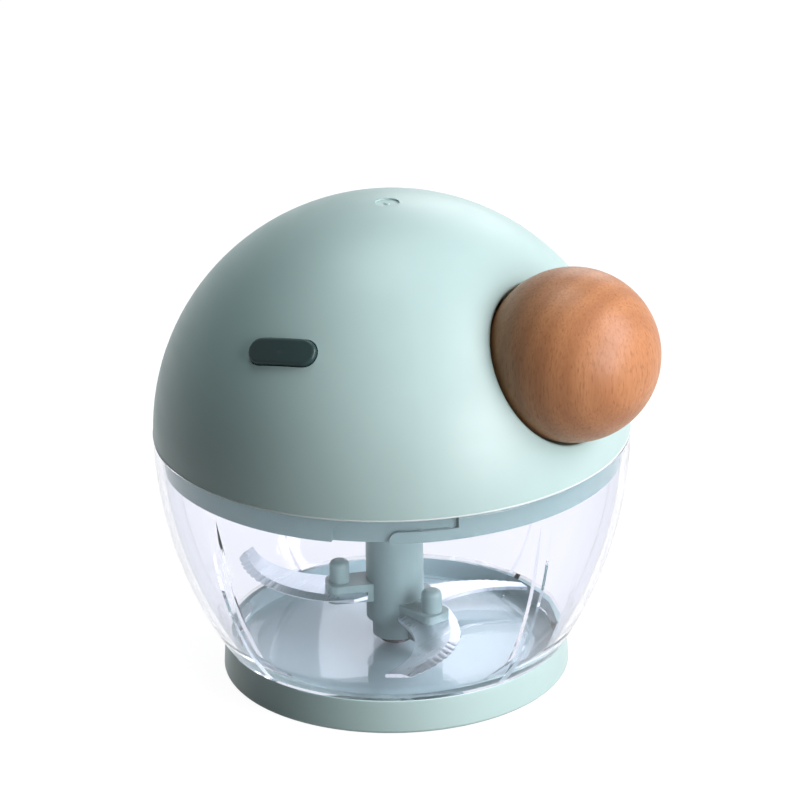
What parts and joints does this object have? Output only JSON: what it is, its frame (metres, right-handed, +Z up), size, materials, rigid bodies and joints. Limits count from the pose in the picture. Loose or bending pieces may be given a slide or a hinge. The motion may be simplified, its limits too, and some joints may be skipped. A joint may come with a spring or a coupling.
{
  "type": "manual food chopper",
  "caption": "Hand-pulled food chopper: clear bowl in a shallow dish, domed lid with a cord reel inside, round wooden pull handle, press button and crescent blades.",
  "frame": {"origin": "centre of the foot pad's underside, on the bowl's axis, at the height of the surface it stands on", "axes": "+Z up along the bowl's axis, +X towards the wooden pull handle, -Y towards the press button"},
  "size_m": [0.1435, 0.126, 0.1307],
  "materials": {
    "clear_plastic": "polished",
    "mint_matte": "satin",
    "mint_lid": "satin",
    "mint_gloss": "gloss",
    "foot_rubber": "matt",
    "seal_silicone": "matt",
    "blade_steel": "ground",
    "bright_steel": "polished",
    "spring_steel": "blued",
    "reel_plastic": "moulded",
    "pawl_plastic": "moulded",
    "wood": "oiled",
    "cord_fibre": "braided"
  },
  "bodies": {
    "bowl": {"bowl": "clear_plastic", "base_dish": "mint_matte", "foot_pad": "foot_rubber", "pivot_pin": "bright_steel"},
    "lid_seal": {"lid_seal": "seal_silicone"},
    "lid": {"dome_shell": "mint_matte", "lid_plate": "mint_lid", "dome_screws": "bright_steel", "reel_housing": "reel_plastic", "housing_screws": "bright_steel", "spool_axle": "bright_steel", "hub_washer": "reel_plastic", "rewind_spring": "spring_steel", "cord_eyelet": "bright_steel", "button_spring": "spring_steel"},
    "drive_hub": {"drive_hub": "reel_plastic"},
    "spool": {"spool": "reel_plastic", "wound_cord": "cord_fibre", "spring_retainer": "bright_steel"},
    "pawl_a": {"clutch_pawl_a": "pawl_plastic"},
    "pawl_b": {"clutch_pawl_b": "pawl_plastic"},
    "handle": {"handle_ball": "wood", "ball_insert": "reel_plastic", "cord_knot": "cord_fibre", "pull_cord": "cord_fibre"},
    "button": {"press_button": "mint_gloss", "button_clip": "bright_steel"},
    "blades": {"blade_column": "mint_matte", "blade_upper": "blade_steel", "blade_middle": "blade_steel", "blade_lower": "blade_steel"}
  },
  "joints": [
    {"name": "lid_lift", "type": "slide", "parent": "bowl", "child": "lid_seal", "axis": [0, 0, 1], "range_m": [0, 0.12]},
    {"name": "lid_twist", "type": "hinge", "parent": "lid_seal", "child": "lid", "pos_m": [0, 0, 0.068], "axis": [0, 0, 1], "range_deg": [0, 17.5]},
    {"name": "handle_pull", "type": "slide", "parent": "lid", "child": "handle", "axis": [0.8673, 0, 0.4977], "range_m": [0, 0.28], "stiffness_N_per_m": 8, "springref_m": -0.3, "deforming": ["pull_cord"]},
    {"name": "spool_spin", "type": "hinge", "parent": "lid", "child": "spool", "pos_m": [0, 0, 0.082], "axis": [0, 0, 1], "range_deg": [0, 985.2], "deforming": ["rewind_spring"]},
    {"name": "hub_spin", "type": "hinge", "parent": "lid", "child": "drive_hub", "pos_m": [0, 0, 0.072], "axis": [0, 0, 1], "range_deg": [0, 985.2]},
    {"name": "blade_spin", "type": "hinge", "parent": "bowl", "child": "blades", "pos_m": [0, 0, 0.0173], "axis": [0, 0, 1], "range_deg": [0, 985.2]},
    {"name": "pawl_a_tilt", "type": "hinge", "parent": "spool", "child": "pawl_a", "pos_m": [0.0105, 0, 0.0745], "axis": [0, 0, 1], "range_deg": [0, 12], "stiffness_Nm_per_rad": 0.0001, "springref_deg": -5.73},
    {"name": "pawl_b_tilt", "type": "hinge", "parent": "spool", "child": "pawl_b", "pos_m": [-0.0105, 0, 0.0745], "axis": [0, 0, 1], "range_deg": [0, 12], "stiffness_Nm_per_rad": 0.0001, "springref_deg": -5.73},
    {"name": "button_press", "type": "slide", "parent": "lid", "child": "button", "axis": [-0.0453, 0.7904, -0.611], "range_m": [0, 0.0012], "stiffness_N_per_m": 250, "springref_m": -0.002, "deforming": ["button_spring"]}
  ],
  "couplings": [
    {"joint": "spool_spin", "follows": "handle_pull", "rad_per_m": 61.35},
    {"joint": "hub_spin", "follows": "handle_pull", "rad_per_m": 61.35},
    {"joint": "blade_spin", "follows": "handle_pull", "rad_per_m": 61.35}
  ]
}
